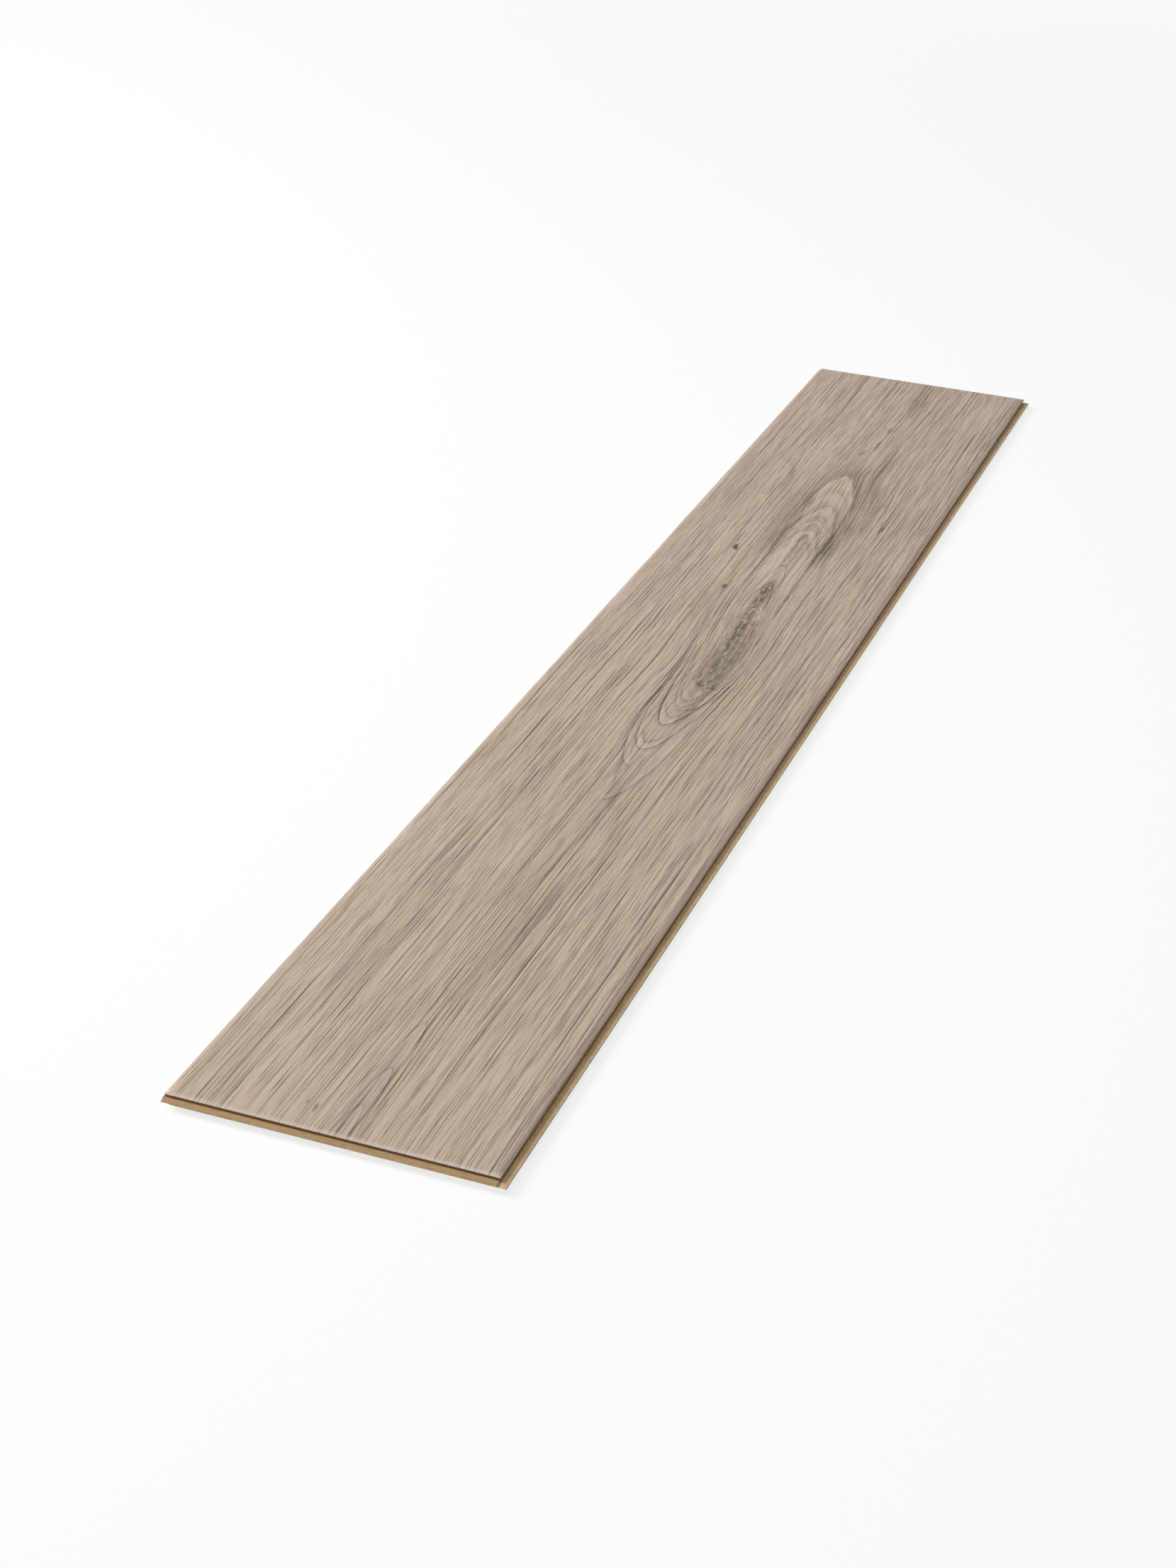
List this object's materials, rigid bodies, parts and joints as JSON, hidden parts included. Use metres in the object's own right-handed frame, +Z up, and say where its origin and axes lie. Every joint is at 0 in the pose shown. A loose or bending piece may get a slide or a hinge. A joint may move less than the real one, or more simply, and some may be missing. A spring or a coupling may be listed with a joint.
{
  "type": "laminate floor plank",
  "caption": "Long flat laminate floor plank: oak-look decor with rolled edges on a fibreboard core, click tongue along its right side and near end, matching groove along left side and far end.",
  "frame": {"origin": "on the underside, at the centre of the area that the laid plank covers from seam to seam", "axes": "+X across the width towards the long tongue, +Y along the length towards the grooved end, +Z up out of the decor face"},
  "size_m": [0.2001, 1.2927, 0.008],
  "materials": {
    "hdf_core": "milled high-density fibreboard, matt tan",
    "decor_layer": "printed greige oak under a clear overlay, satin, lightly embossed"
  },
  "bodies": {
    "root": {"hdf_core": "hdf_core", "decor_layer": "decor_layer"}
  },
  "joints": []
}
